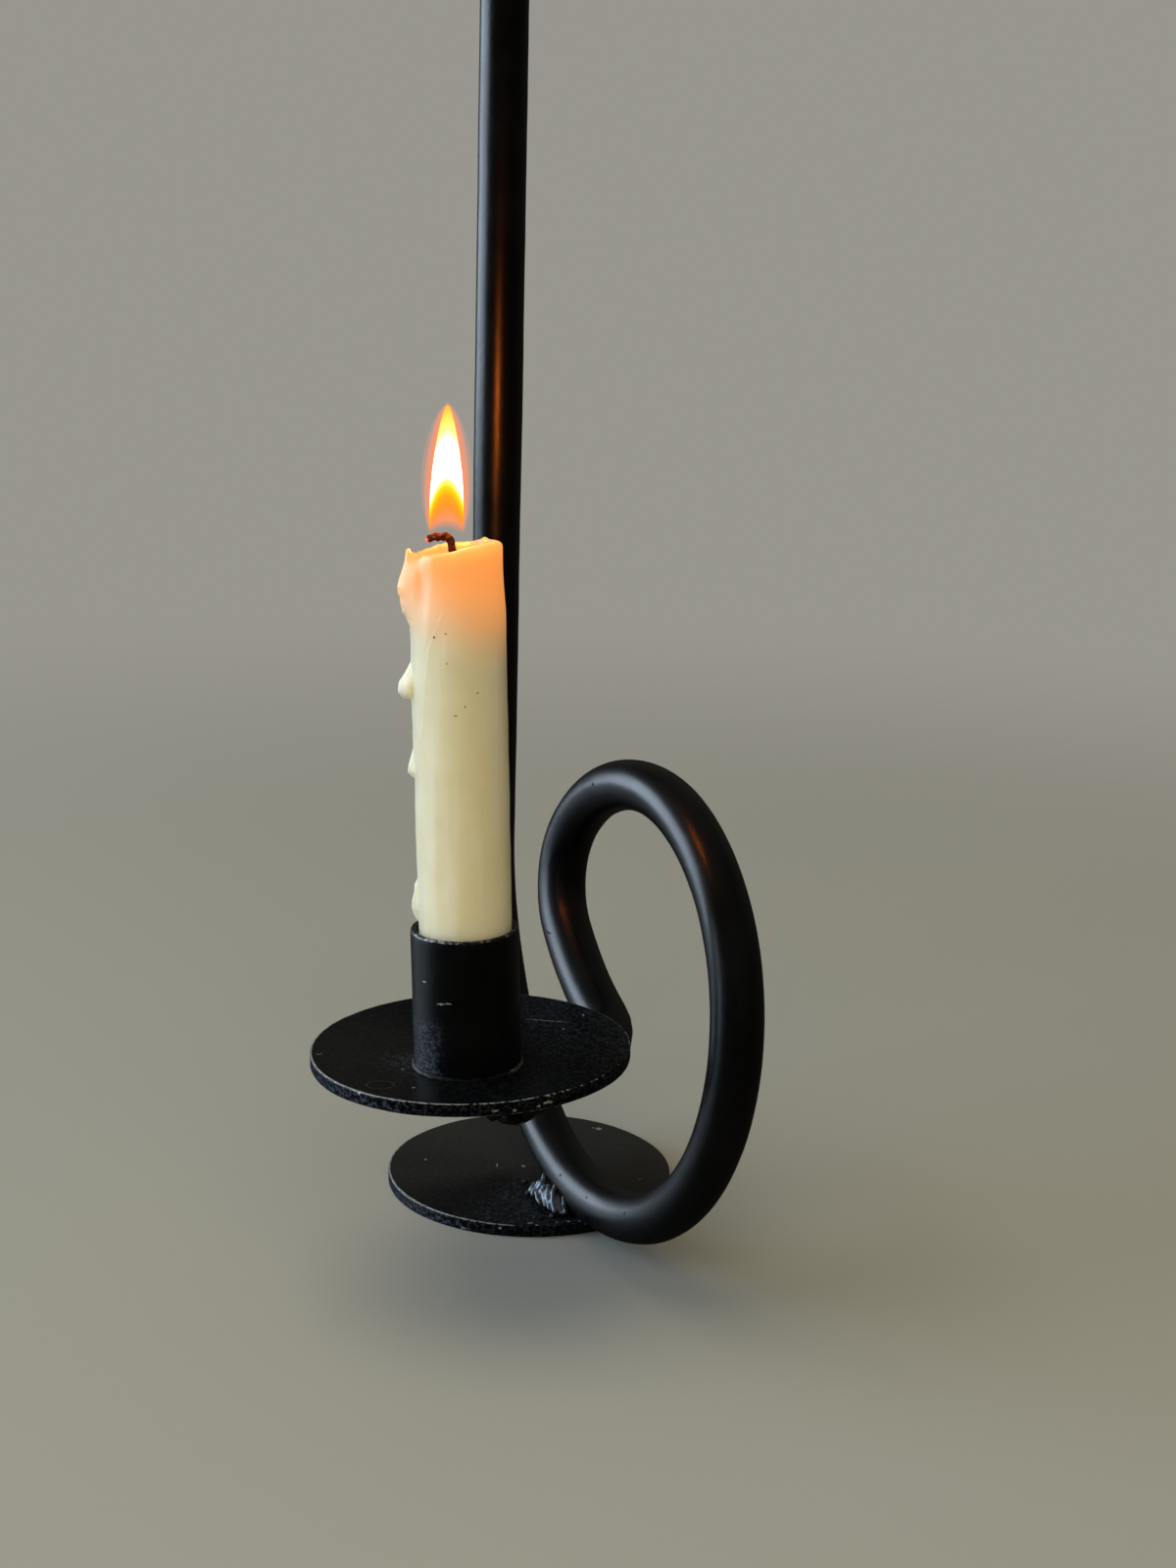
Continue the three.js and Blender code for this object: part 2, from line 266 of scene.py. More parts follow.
WAX_SPECKS = (
    # specks of soot on the wax: centre, half sizes and turn
    ((-4.8, -9.6, 102.3), (0.34, 0.34, 0.3), 0),
    ((-2.1, -10.5, 103.1), (0.26, 0.3, 0.2), 0),
    ((8.7, -6.3, 106.7), (0.25, 0.3, 0.25), 0),
    ((4.5, -9.7, 89.7), (0.5, 0.3, 0.16), 0),
    ((1.8, -10.5, 86.7), (0.3, 0.3, 0.24), 0),
    ((-0.4, -10.7, 84.8), (0.45, 0.3, 0.16), 0),
    ((-2.1, -10.5, 96.5), (0.2, 0.3, 0.2), 0),
    ((5.6, -9.1, 117.2), (0.3, 0.4, 0.6), 0),
    ((-4.4, -9.7, 117.4), (0.25, 0.4, 0.25), 0),
)


def candle_wax(name, place):
    """Ivory dinner-candle wax, dipped and burnt. It is creamy and softly translucent, with
    a satin skin. Its top is painted a darker amber and emits orange: painted light that
    stands in for the flame shining into the wax."""
    material, tree, local = start_material(name, place)
    # painted light: the flame's light in the wax reaches lower on the right, away from the overflow on the
    # left
    sideways = node(tree, "SeparateXYZ", {0: local}, "X")
    height = node(tree, "SeparateXYZ", {0: local}, "Z")
    level = node(tree, "Math", {0: sideways, 1: 0.3, 2: height}, operation="MULTIPLY_ADD")
    painted_glow = node(tree, "MapRange", {
        "Value": level, "From Min": 95.0, "From Max": 118.0,
    }, interpolation_type="SMOOTHSTEP")
    # runs are streaks 2.5 mm wide, and the wax is cloudy over 9 mm
    along = node(tree, "Mapping", {"Vector": local, "Scale": (1, 1, 0.08)})
    streaks = node(tree, "TexNoise", {"Vector": along, "Scale": 1 / 2.5, "Detail": 4, "Roughness": 0.55})
    clouds = node(tree, "TexNoise", {"Vector": local, "Scale": 1 / 9, "Detail": 4})
    wax = node(tree, "ValToRGB", {0: clouds}, stops=((0.3, colour("#e4e0c5")), (0.7, colour("#ded8b6"))))
    paler = node(tree, "MapRange", {"Value": streaks, "From Min": 0.5, "From Max": 0.75, "To Max": 0.35})
    wax = node(tree, "Mix", {0: paler, 6: wax, 7: colour("#eeeada")}, 2, data_type="RGBA")
    sooty = marked(tree, local, WAX_SPECKS)
    wax = node(tree, "Mix", {0: sooty, 6: wax, 7: colour("#57411f")}, 2, data_type="RGBA")
    # painted light: near the flame the wax turns a darker amber
    shade = node(tree, "Mix", {0: painted_glow, 6: wax, 7: colour("#b48259")}, 2, data_type="RGBA")
    lumps = node(tree, "TexNoise", {"Vector": local, "Scale": 1 / 1.4, "Detail": 3})
    relief = node(tree, "Math", {0: lumps, 1: 0.4, 2: streaks}, operation="MULTIPLY_ADD")
    bump = node(tree, "Bump", {"Height": relief, "Strength": 0.5, "Distance": 0.00015})
    # painted light: the top emits orange, though the wax is no lamp
    painted_glow_strength = node(tree, "Math", {0: painted_glow, 1: 0.75}, operation="MULTIPLY")
    # the wax is wet and glossy near the flame
    gloss = node(tree, "MapRange", {
        "Value": height, "From Min": 104.0, "From Max": 117.0, "To Min": 0.42, "To Max": 0.28,
    })
    surface = node(tree, "BsdfPrincipled", {
        "Base Color": shade,
        "Roughness": gloss,
        "IOR": 1.44,
        "Subsurface Weight": 1.0,
        "Subsurface Radius": (1.0, 0.8, 0.45),
        "Subsurface Scale": 0.011,
        "Emission Color": colour("#ff9c4a"),
        "Emission Strength": painted_glow_strength,
        "Normal": bump,
    })
    node(tree, "OutputMaterial", {"Surface": surface})
    return material


def charred_wick(name):
    """Braided cotton burnt to char: matt and brown-black, with an ember at its tip, where
    the attribute "ember" is high."""
    material, tree, local = start_material(name, Matrix())
    ember = node(tree, "Attribute", out="Fac", attribute_name="ember")
    crumbs = node(tree, "TexNoise", {"Vector": local, "Scale": 1 / 0.35, "Detail": 4, "Roughness": 0.6})
    shade = node(tree, "ValToRGB", {0: crumbs}, stops=((0.35, colour("#230f0b")), (0.7, colour("#5a2c20"))))
    bump = node(tree, "Bump", {"Height": crumbs, "Strength": 0.8, "Distance": 0.0001})
    surface = node(tree, "BsdfPrincipled", {
        "Base Color": shade,
        "Roughness": 0.85,
        "Specular IOR Level": 0.1,
        "Emission Color": colour("#ff7f6a"),
        "Emission Strength": ember,
        "Normal": bump,
    })
    node(tree, "OutputMaterial", {"Surface": surface})
    return material


def burning_core(name, place):
    """Burning wax vapour: white-hot, yellow to orange at its tip and round the dark zone
    over the wick, and clear below that."""
    material, tree, local = start_material(name, place)
    side = node(tree, "SeparateXYZ", {0: local}, "X")
    height = node(tree, "SeparateXYZ", {0: local}, "Z")
    # the dark zone is an arch 10 mm high, 0.2 mm to the right of the middle, and it falls
    # 0.42 mm for each square millimetre aside
    side = node(tree, "Math", {0: side, 1: 0.2}, operation="SUBTRACT")
    bow = node(tree, "Math", {0: side, 1: side}, operation="MULTIPLY")
    above = node(tree, "Math", {0: bow, 1: 0.42, 2: height}, operation="MULTIPLY_ADD")
    body = node(tree, "ValToRGB", {0: node(tree, "MapRange", {
        "Value": above, "From Min": 4.0, "From Max": 15.0,
    })}, stops=(
        (0.0, colour("#ff985f")), (0.33, colour("#ff932f")), (0.5, colour("#ffa90c")),
        (0.66, colour("#ffe400")), (0.78, colour("#fff064")), (0.92, colour("#fffdf0")),
    ))
    # the vapour cools through yellow to orange towards its tip and its upper edges
    cooling = node(tree, "Math", {0: bow, 1: 0.47, 2: height}, operation="MULTIPLY_ADD")
    tip = node(tree, "ValToRGB", {0: node(tree, "MapRange", {
        "Value": cooling, "From Min": 20.0, "From Max": 29.5,
    })}, stops=(
        (0.12, colour("#fffdf0")), (0.34, colour("#fff4a0")), (0.62, colour("#ffe564")),
        (0.84, colour("#ffc244")), (1.0, colour("#ff9a3c")),
    ))
    upper = node(tree, "MapRange", {"Value": height, "From Min": 17.0, "From Max": 20.0})
    shade = node(tree, "Mix", {0: upper, 6: body, 7: tip}, 2, data_type="RGBA")
    heat = node(tree, "MapRange", {
        "Value": above, "From Min": 11.5, "From Max": 17.0, "To Min": 1.1, "To Max": 5.0,
    })
    cooler = node(tree, "MapRange", {
        "Value": cooling, "From Min": 18.0, "From Max": 24.0, "To Min": 1.0, "To Max": 0.3,
    })
    heat = node(tree, "Math", {0: heat, 1: cooler}, operation="MULTIPLY")
    foot = node(tree, "Math", {0: bow, 1: 0.11, 2: height}, operation="MULTIPLY_ADD")
    shown = node(tree, "MapRange", {"Value": foot, "From Min": 2.3, "From Max": 7.0})
    light = node(tree, "Emission", {"Color": shade, "Strength": heat})
    surface = node(tree, "MixShader", {0: shown, 1: node(tree, "BsdfTransparent"), 2: light})
    node(tree, "OutputMaterial", {"Surface": surface})
    return material


def burning_skin(name, place, share, shade, strength):
    """One of the thin, nearly clear skins round the burning vapour, orange to salmon. Like
    the vapour, it fades out at the flame's foot."""
    material, tree, local = start_material(name, place)
    height = node(tree, "SeparateXYZ", {0: local}, "Z")
    side = node(tree, "SeparateXYZ", {0: local}, "X")
    bow = node(tree, "Math", {0: side, 1: side}, operation="MULTIPLY")
    foot = node(tree, "Math", {0: bow, 1: 0.11, 2: height}, operation="MULTIPLY_ADD")
    shown = node(tree, "MapRange", {"Value": foot, "From Min": 2.2, "From Max": 6.4, "To Max": share})
    light = node(tree, "Emission", {"Color": colour(shade), "Strength": strength})
    surface = node(tree, "MixShader", {0: shown, 1: node(tree, "BsdfTransparent"), 2: light})
    node(tree, "OutputMaterial", {"Surface": surface})
    return material


# Mesh helpers

def wobble(point, size, amount, seed=0):
    """Smooth unevenness of a given size and amount, in millimetres."""
    return amount * noise.noise(point / size + Vector((seed, 0, 0)))


def smooth_share(value, low, high):
    """0 below low, 1 above high, and smooth between."""
    share = min(1, max(0, (value - low) / (high - low)))
    return share * share * (3 - 2 * share)


def angle_and_radius(co):
    """Where a point is round the upright axis: degrees from its right side, and distance."""
    return math.degrees(math.atan2(co.y, co.x)) % 360, math.hypot(co.x, co.y)


def facing(angle, middle, low, high):
    """1 near the middle angle and 0 away from it, by the cosine of the angle between."""
    return smooth_share(math.cos(math.radians(angle - middle)), low, high)


def along_table(table, value):
    """Straight lines through a table of (place, amount), sorted by place."""
    if value <= table[0][0]:
        return table[0][1]
    for (start, first), (end, second) in zip(table, table[1:]):
        if value <= end:
            return first + (second - first) * (value - start) / (end - start)
    return table[-1][1]


def turned(profile, steps, closed=False, spacing=None):
    """A shape spun round the upright axis from (radius, height) points."""
    bm = bmesh.new()
    points = [bm.verts.new((radius, 0, height)) for radius, height in profile]
    pairs = list(zip(points, points[1:]))
    if closed:
        pairs.append((points[-1], points[0]))
    edges = [bm.edges.new(pair) for pair in pairs]
    if spacing:
        for edge in edges:
            cuts = int(edge.calc_length() / spacing)
            if cuts:
                bmesh.ops.subdivide_edges(bm, edges=[edge], cuts=cuts)
    bmesh.ops.spin(
        bm, geom=bm.verts[:] + bm.edges[:], cent=(0, 0, 0), axis=UP,
        angle=2 * math.pi, steps=steps, use_merge=True,
    )
    bmesh.ops.remove_doubles(bm, verts=bm.verts, dist=0.0005)
    bmesh.ops.recalc_face_normals(bm, faces=bm.faces)
    return bm


def lump(bm, centre, size, turn=Matrix()):
    """Add a rounded lump with those half sizes to a bmesh."""
    place = Matrix.Translation(centre) @ turn @ Matrix.Diagonal((*size, 1))
    # the ball is made by itself, because an operator on a growing bmesh gets slow
    ball = bmesh.new()
    bmesh.ops.create_icosphere(ball, subdivisions=3 if max(size) > 1.2 else 2, radius=1, matrix=place)
    mesh = bpy.data.meshes.new("lump")
    ball.to_mesh(mesh)
    ball.free()
    bm.from_mesh(mesh)
    bpy.data.meshes.remove(mesh)


def chain(bm, points, size=(1, 1, 1)):
    """Add runs of lumps, each of (x, y, z, radius), close enough to melt into one shape."""
    for start, end in zip(points, points[1:]):
        first, last = Vector(start[:3]), Vector(end[:3])
        count = max(1, round((last - first).length / (0.6 * min(start[3], end[3]))))
        for index in range(count + 1):
            share = index / count
            radius = start[3] + (end[3] - start[3]) * share
            lump(bm, first.lerp(last, share), [radius * part for part in size])


def store(bm, name, amount):
    """Keep a number for each vertex as an attribute."""
    layer = bm.verts.layers.float.new(name)
    for vert in bm.verts:
        vert[layer] = amount(vert.co)


def push(bm, amount):
    """Move each vertex out along its normal."""
    bm.normal_update()
    for vert in bm.verts:
        vert.co += vert.normal * amount(vert.co)


def smooth_out(bm, verts, rounds):
    """Even out some vertices, a little in each round."""
    for _ in range(rounds):
        bmesh.ops.smooth_vert(bm, verts=verts, factor=0.5, use_axis_x=True, use_axis_y=True, use_axis_z=True)


def cut_away(bm, place, outward):
    """Cut off what lies beyond a plane."""
    bmesh.ops.bisect_plane(
        bm, geom=bm.verts[:] + bm.edges[:] + bm.faces[:], plane_co=place, plane_no=outward, clear_outer=True)


def fused(bm, voxel, rounds):
    """Melt overlapping shapes into one skin."""
    obj = add_object("melt", bm)
    remesh = obj.modifiers.new("melt", "REMESH")
    remesh.mode = "VOXEL"
    remesh.voxel_size = voxel
    smooth = obj.modifiers.new("smooth", "SMOOTH")
    smooth.iterations = rounds
    smooth.factor = 0.5
    bpy.context.view_layer.update()
    whole = obj.evaluated_get(bpy.context.evaluated_depsgraph_get())
    out = bmesh.new()
    out.from_mesh(whole.to_mesh())
    whole.to_mesh_clear()
    # this removes the object too
    bpy.data.meshes.remove(obj.data)
    return out


def piece(name, bm, material, body, node_name=None, place=Matrix(), sharp=35):
    """Finish a bmesh as a piece of the object, in its place and in metres. Edges that turn
    by more than the sharp angle stay crisp."""
    bmesh.ops.transform(bm, matrix=place, verts=bm.verts)
    bmesh.ops.transform(bm, matrix=Matrix.Scale(0.001, 4), verts=bm.verts)
    obj = add_object(name, bm)
    obj.data.materials.append(material)
    obj.data.shade_smooth()
    obj.data.set_sharp_from_angle(angle=math.radians(sharp))
    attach(obj, body)
    if node_name:
        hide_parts(node_name)
    return obj


class Rod:
    """A round rod laid by extruding and spinning one ring."""

    def __init__(self, place, along, inward, radius, sides, step):
        self.bm = bmesh.new()
        self.place, self.along, self.inward = place.copy(), along.copy(), inward.copy()
        self.step = step
        turn = along.to_track_quat("Z", "Y").to_matrix().to_4x4()
        made = bmesh.ops.create_circle(
            self.bm, cap_ends=False, segments=sides, radius=radius,
            matrix=Matrix.Translation(place) @ turn)
        self.ring = list({edge for vert in made["verts"] for edge in vert.link_edges})

    def straight(self, length):
        """Go straight on."""
        count = max(1, round(length / self.step))
        for _ in range(count):
            made = bmesh.ops.extrude_edge_only(self.bm, edges=self.ring)["geom"]
            verts = {item for item in made if isinstance(item, bmesh.types.BMVert)}
            self.ring = [
                item for item in made
                if isinstance(item, bmesh.types.BMEdge) and verts.issuperset(item.verts)
            ]
            bmesh.ops.translate(self.bm, verts=list(verts), vec=self.along * length / count)
        self.place = self.place + self.along * length

    def bend(self, radius, angle, roll=0):
        """Bend towards the inward side, which is first rolled round the rod."""
        self.inward.rotate(Matrix.Rotation(math.radians(roll), 3, self.along))
        centre = self.place + self.inward * radius
        axis = self.along.cross(self.inward)
        swing = Matrix.Rotation(math.radians(angle), 3, axis)
        verts = list({vert for edge in self.ring for vert in edge.verts})
        made = bmesh.ops.spin(
            self.bm, geom=self.ring + verts, cent=centre, axis=axis, angle=math.radians(angle),
            steps=max(1, round(math.radians(angle) * radius / self.step)))
        self.ring = [item for item in made["geom_last"] if isinstance(item, bmesh.types.BMEdge)]
        self.place = centre + swing @ (self.place - centre)
        self.along = swing @ self.along
        self.inward = swing @ self.inward

    def close(self, rounding):
        """Close both ends and round their corners."""
        bm = self.bm
        bmesh.ops.remove_doubles(bm, verts=bm.verts, dist=0.0005)
        bmesh.ops.holes_fill(bm, edges=[edge for edge in bm.edges if edge.is_boundary], sides=0)
        bmesh.ops.recalc_face_normals(bm, faces=bm.faces)
        rims = [edge for edge in bm.edges if edge.calc_face_angle(0) > 1.2]
        bmesh.ops.bevel(
            bm, geom=rims, offset=rounding, segments=3, profile=0.5, affect="EDGES", material=-1)
        return bm


# The bar

def lay_bar(stem, sides, step):
    """The whole bar, from the stem's top to the tail's cut end."""
    heading = Vector((math.sin(LOOP_HEADING), -math.cos(LOOP_HEADING), 0))
    bar = Rod(STEM_PLACE, -UP, heading, BAR_RADIUS, sides, step)
    bar.straight(stem)
    for bend in BENDS:
        bar.bend(*bend)
    bar.straight(TAIL_LENGTH)
    return bar


# The loop rests on the base disc, and the stem's length follows from that.
TRIAL_STEM = 1
trial = lay_bar(TRIAL_STEM, sides=8, step=2)
lowest = min(vert.co.z for vert in trial.bm.verts)
trial.bm.free()
bar = lay_bar(TRIAL_STEM + lowest - DISC_THICKNESS - REST_GAP, sides=64, step=3)

dish_up = (UP - bar.along * UP.dot(bar.along)).normalized()
lean = Matrix.Rotation(DISH_LEAN, 3, bar.along)
dish_normal = lean @ dish_up
dish_side = lean @ bar.along.cross(dish_up)
dish_place = (
    bar.place - bar.along * DISH_BACK + dish_side * DISH_SIDEWAYS
    + dish_normal * (BAR_RADIUS + GAP)
)
BASE = Matrix()
LOWER_DISH = Matrix.Translation(dish_place) @ UP.rotation_difference(dish_normal).to_matrix().to_4x4()
UPPER_DISH = Matrix.Translation(STEM_PLACE)
LOWER_CUP = LOWER_DISH @ Matrix.Translation((0, -LOWER_CUP_FORWARD, DISC_THICKNESS + GAP))
UPPER_CUP = UPPER_DISH @ Matrix.Translation((0, 0, DISC_THICKNESS + GAP))
CANDLE_FOOT = LOWER_CUP @ Matrix.Translation((CANDLE_SHIFT, 0, 0))


def make_bar():
    """The bent bar, slightly uneven, as hot-bent and thickly painted stock is."""
    bm = bar.close(rounding=0.5)
    push(bm, lambda co: wobble(co, 24, 0.14) + wobble(co, 8, 0.05, 5))
    store(bm, "worn", lambda co: 0.1)
    paint = painted_iron("satin_black_paint_on_bar", BASE, pits=(
        ((14.5, -19.2, 115.5), (0.9, 0.7, 0.5), 0),
        ((4.1, -9.0, 72.8), (1.5, 0.5, 0.3), -58),
        ((11.2, -13.1, 73.9), (0.5, 0.5, 0.4), 0),
        ((8.5, -27.5, 12.9), (0.5, 0.5, 0.5), 0),
        ((15.4, -41.3, 12.9), (0.5, 0.5, 0.5), 0),
        ((4.9, -17.2, 16.9), (0.4, 0.4, 0.4), 0),
        ((24.9, -60.3, 17.4), (0.5, 0.5, 0.5), 0),
    ))
    piece("bent_iron_bar", bm, paint, "holder", "bent_bar")


def make_disc(name, node_name, place, wear_and_highlight_here, scuffed_here, dust_and_sheen_here, shine, chips=(), stains=()):
    """A flat iron disc. Its corners are rubbed bright, which also paints their highlights, and its
    faces are scuffed, and greyed by dust and by a painted sheen. How much is given by
    functions of the place on the disc."""
    edge = DISC_RADIUS - DISC_EDGE
    top = DISC_THICKNESS
    lower = (
        (0, 0), (edge - 1, 0), (edge - 0.25, 0), (edge, 0.03), (DISC_RADIUS - 0.1, 0.1),
        (DISC_RADIUS, DISC_EDGE), (DISC_RADIUS, 0.6),
    )
    upper = tuple((radius, top - height) for radius, height in reversed(lower))
    bm = turned(lower + upper, steps=160, spacing=2.5)

    def rub(co):
        angle, radius = angle_and_radius(co)
        on_top = co.z > top / 2
        depth = top - co.z if on_top else co.z
        if radius > edge - 0.05 and depth < 0.2:
            return wear_and_highlight_here(angle, on_top)
        return 0.28 if radius > DISC_RADIUS - 0.01 else 0.08

    def uneven(co):
        _, radius = angle_and_radius(co)
        return wobble(co, 16, 0.1, 3) + wobble(co, 3, 0.03, 4) * (radius > edge - 1)

    store(bm, "worn", rub)
    store(bm, "scuffed", lambda co: scuffed_here(*angle_and_radius(co), co.z))
    # the dusty attribute: dust, and on the base and the lower dish a painted sheen
    store(bm, "dusty", lambda co: dust_and_sheen_here(*angle_and_radius(co)) if co.z > top - 0.05 else 0)
    push(bm, uneven)
    paint = painted_iron(f"satin_black_paint_on_{node_name}", place, chips, stains, shine=shine)
    piece(name, bm, paint, "holder", node_name, place)


def make_cup(name, node_name, place, chips, scuffs):
    """A short tube that holds a candle, with a rounded rim worn bright. Its foot is scuffed
    at the angle scuffs."""
    top = CUP_HEIGHT
    bm = turned((
        (CUP_BORE, 0), (CUP_RADIUS, 0), (CUP_RADIUS, 14), (CUP_RADIUS, top - 0.9),
        (CUP_RADIUS - 0.07, top - 0.5), (CUP_RADIUS - 0.25, top - 0.18), (CUP_RADIUS - 0.5, top - 0.03),
        (CUP_BORE + 0.4, top), (CUP_BORE + 0.1, top - 0.12), (CUP_BORE, top - 0.4),
    ), steps=120, closed=True, spacing=1.2)

    def rub(co):
        angle, _ = angle_and_radius(co)
        if co.z > top - 0.6:
            return along_table(((170, 0.4), (235, 0.52), (285, 0.46), (330, 0.42)), angle)
        return 0.1

    def scuff(co):
        angle, _ = angle_and_radius(co)
        side = facing(angle, scuffs, 0.6, 0.9)
        return 0.8 * side * smooth_share(co.z, 16, 9) + 0.25 * smooth_share(co.z, top - 1.4, top)

    store(bm, "worn", rub)
    store(bm, "scuffed", scuff)
    push(bm, lambda co: (
        wobble(co, 9, 0.08, 9) + wobble(co, 2.2, 0.09, 7) * smooth_share(co.z, top - 1, top)))
    paint = painted_iron(f"satin_black_paint_on_{node_name}", place, chips)
    piece(name, bm, paint, "holder", node_name, place)


def make_cup_seam(name, node_name, place):
    """A thin uneven seam of brazing round the cup's foot."""
    bm = turned((
        (CUP_RADIUS + 0.1, -0.25), (CUP_RADIUS + 0.55, -0.25), (CUP_RADIUS + 0.5, 0.05),
        (CUP_RADIUS + 0.32, 0.3), (CUP_RADIUS + 0.1, 0.45),
    ), steps=160, closed=True)
    push(bm, lambda co: wobble(co, 1.6, 0.2, 2))
    # the seam is thin in front. Its bare metal shows only to the left and right of it, as bright
    # arcs that are painted highlights
    for vert in bm.verts:
        if math.hypot(vert.co.x, vert.co.y) > CUP_RADIUS + 0.25:
            vert.co.xy *= 1 - 0.026 * smooth_share(-abs(vert.co.x), -9, -5)
    # painted highlight: bare, bright seam only at the sides, a little more on the right
    store(bm, "worn", lambda co: (0.46 + 0.005 * co.x) * smooth_share(abs(co.x), 8, 10.5))
    piece(name, bm, braze, "holder", node_name, place)


BASE_WELD_RIPPLES = (
    # runs of weld from the bar's side down to the base: place and radius
    ((4.2, -19.6, 9.8, 0.35), (4.3, -20.8, 8.9, 0.75), (4.0, -21.6, 7.9, 1.1), (3.1, -22.0, 6.6, 1.0)),
    ((2.2, -18.4, 5.9, 1.2), (1.4, -19.0, 5.0, 1.1), (0.9, -19.4, 4.4, 0.8)),
    ((3.4, -20.4, 7.2, 1.2), (2.6, -21.0, 6.0, 1.2), (1.8, -21.9, 4.9, 1.0)),
    ((3.2, -22.6, 6.6, 0.75), (2.7, -23.6, 5.9, 0.85), (3.0, -25.0, 5.2, 0.8), (3.7, -26.6, 4.4, 0.6)),
    ((4.6, -23.6, 7.8, 0.7), (4.3, -25.0, 7.0, 0.75), (4.6, -27.0, 5.9, 0.75), (5.0, -28.4, 4.6, 0.6)),
    ((5.7, -24.6, 8.6, 0.6), (5.6, -26.4, 7.5, 0.65), (5.7, -28.2, 6.3, 0.7), (6.0, -29.8, 4.5, 0.6)),
    ((7.4, -26.6, 9.4, 0.6), (6.9, -27.9, 8.0, 0.7), (7.0, -29.6, 6.2, 0.8), (7.6, -31.2, 4.6, 0.95)),
    ((9.6, -30.6, 8.2, 0.4), (9.9, -31.6, 6.4, 0.6), (10.2, -32.4, 4.6, 0.5)),
    ((7.0, -32.6, 3.6, 0.95), (7.2, -32.9, 3.7, 0.8)),
    ((0.1, -19.6, 4.1, 0.7), (0.2, -19.9, 3.9, 0.6)),
    ((-0.9, -10.5, 3.4, 0.6), (-0.4, -10.8, 3.5, 0.5)),
    ((4.2, -33.4, 3.3, 0.7), (2.6, -33.0, 3.3, 0.6)),
)
BASE_WELD_BODY = (
    (3.4, -17.6, 4.2, 1.8), (4.6, -20.6, 5.2, 2.5), (5.6, -23.6, 5.6, 2.8), (6.8, -26.6, 5.6, 2.7),
    (8.2, -29.2, 4.8, 2.2), (9.6, -31.2, 4.0, 1.4),
)


def make_base_weld():
    """Silvery ripples of weld from the bar's side down to the base disc."""
    bm = bmesh.new()
    chain(bm, BASE_WELD_BODY)
    for ripple in BASE_WELD_RIPPLES:
        chain(bm, ripple)
    bm = fused(bm, voxel=0.2, rounds=3)
    cut_away(bm, UP * (DISC_THICKNESS - 0.3), -UP)
    push(bm, lambda co: wobble(co, 1.6, 0.2, 2))
    # painted highlight and shade: the ridges high up and to the front are bare and bright, and the
    # foot and the grooves, which are where smoothing moves the skin out, keep black paint
    bm.normal_update()
    rippled = [(vert.co.copy(), vert.normal.copy()) for vert in bm.verts]
    smooth_out(bm, bm.verts, rounds=14)
    worn = bm.verts.layers.float.new("worn")
    for vert, (place, outward) in zip(bm.verts, rippled):
        shaded_groove = smooth_share((vert.co - place).dot(outward), -0.02, 0.06)
        ridge = smooth_share(place.z, 3.6, 5.6) * smooth_share(-place.y, 17.5, 20.5)
        # bright ridges are painted highlights, and black grooves are painted shade
        vert[worn] = 0.3 + 0.5 * ridge - 0.45 * shaded_groove
        vert.co = place
    weld_with_painted_light = weld_metal("weld_steel_with_painted_light")
    piece("base_weld_bead", bm, weld_with_painted_light, "holder", "base_weld", sharp=60)


def make_tail_weld():
    """Lumps of weld, painted black, down the bar's cut end and along under the dish."""
    bm = bmesh.new()
    beside = bar.along.cross(dish_up)
    # lumps down one side of the cut end
    for index in range(8):
        turn = math.radians(18 + 19 * index)
        outward = Matrix.Rotation(turn, 3, bar.along) @ dish_up
        shift = wobble(Vector((index * 2.3, 1, 4)), 1, 1)
        centre = bar.place + bar.along * (0.8 + shift) + outward * BAR_RADIUS * 0.82
        lump(bm, centre, (1.7, 1.8 + shift, 1.9))
    # lumps back along the bar, under the dish
    for index in range(5):
        shift = wobble(Vector((index * 1.9, 5, 2)), 1, 1)
        centre = bar.place - bar.along * (1.5 + 2.2 * index) + dish_up * 5 + beside * (-5.6 + shift)
        lump(bm, centre, (1.8, 1.6, 1.5 + shift))
    chain(bm, (
        (-10.2, -74.6, 56.5, 1.9), (-10.0, -75.0, 52.6, 1.6), (-9.2, -75.4, 50.0, 1.5),
        (-7.2, -75.8, 48.7, 1.5), (-5.0, -76.0, 49.4, 1.2), (-3.6, -76.2, 48.2, 1.7),
        (-1.8, -76.3, 47.9, 1.5),
    ))
    bm = fused(bm, voxel=0.3, rounds=1)
    cut_away(bm, LOWER_DISH @ Vector((0, 0, 0.15)), dish_normal)
    push(bm, lambda co: wobble(co, 1.2, 0.25, 2))
    store(bm, "worn", lambda co: 0.2)
    piece("tail_weld_lumps", bm, dark_weld, "holder", "tail_weld", sharp=60)


def make_stem_weld():
    """A rippled fillet between the stem's top and the upper dish."""
    bm = turned((
        (BAR_RADIUS - 0.2, 0.15), (BAR_RADIUS + 3.1, 0.15), (BAR_RADIUS + 2.3, -0.7),
        (BAR_RADIUS + 1.2, -1.7), (BAR_RADIUS + 0.4, -2.9), (BAR_RADIUS - 0.2, -3.4),
    ), steps=180, closed=True, spacing=0.5)
    ripples = 22

    def ripple(co):
        if co.z >= 0.1:
            return 0
        angle = math.atan2(co.y, co.x) + wobble(co, 3, 0.25, 6)
        return 0.22 * abs(math.sin(angle * ripples / 2)) + wobble(co, 1.3, 0.2, 2)

    push(bm, ripple)
    store(bm, "worn", lambda co: 0.34)
    piece("stem_weld_fillet", bm, dark_weld, "holder", "stem_weld", UPPER_DISH, sharp=60)


braze = weld_metal("brass_brazed_seam")
dark_weld = weld_metal("painted_weld_steel")
make_bar()


def rim_scuffs(angle, radius, height):
    """The rim's left front is scuffed grey."""
    left = smooth_share(angle, 170, 190) * smooth_share(angle, 262, 235)
    return 0.25 + 0.75 * left if radius > DISC_RADIUS - 0.05 else 0.1


